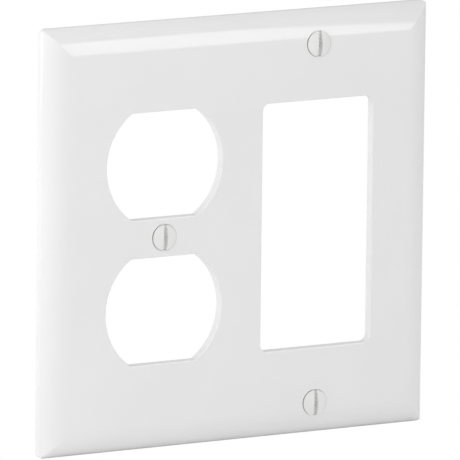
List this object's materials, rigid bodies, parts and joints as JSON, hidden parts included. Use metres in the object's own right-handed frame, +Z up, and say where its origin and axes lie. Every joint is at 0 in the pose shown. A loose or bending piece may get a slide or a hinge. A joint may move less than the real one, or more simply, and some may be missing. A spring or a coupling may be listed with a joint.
{
  "type": "combination wall plate",
  "caption": "White moulded cover plate for electrical wall devices, with flat-sided round openings beside a rectangular one, a rounded mitred border and slotted oval-head screws.",
  "frame": {"origin": "middle of the plate on the wall plane, where the back of the rim meets the wall", "axes": "+Z up, +X to the right seen from the front, +Y into the wall, so the front face looks along -Y"},
  "size_m": [0.116, 0.0137, 0.1142],
  "materials": {
    "white_plastic": "polished white moulding",
    "painted_screw": "white enamel on the head, zinc plate on the thread"
  },
  "bodies": {
    "plate": {"cover_plate": "white_plastic"},
    "duplex_screw": {"duplex_screw": "painted_screw"},
    "decorator_screw_top": {"decorator_screw_top": "painted_screw"},
    "decorator_screw_bottom": {"decorator_screw_bottom": "painted_screw"}
  },
  "joints": [
    {"name": "duplex_screw_slide", "type": "slide", "parent": "plate", "child": "duplex_screw", "axis": [0, -1, 0], "range_m": [0, 0.016]},
    {"name": "decorator_screw_top_slide", "type": "slide", "parent": "plate", "child": "decorator_screw_top", "axis": [0, -1, 0], "range_m": [0, 0.016]},
    {"name": "decorator_screw_bottom_slide", "type": "slide", "parent": "plate", "child": "decorator_screw_bottom", "axis": [0, -1, 0], "range_m": [0, 0.016]}
  ]
}
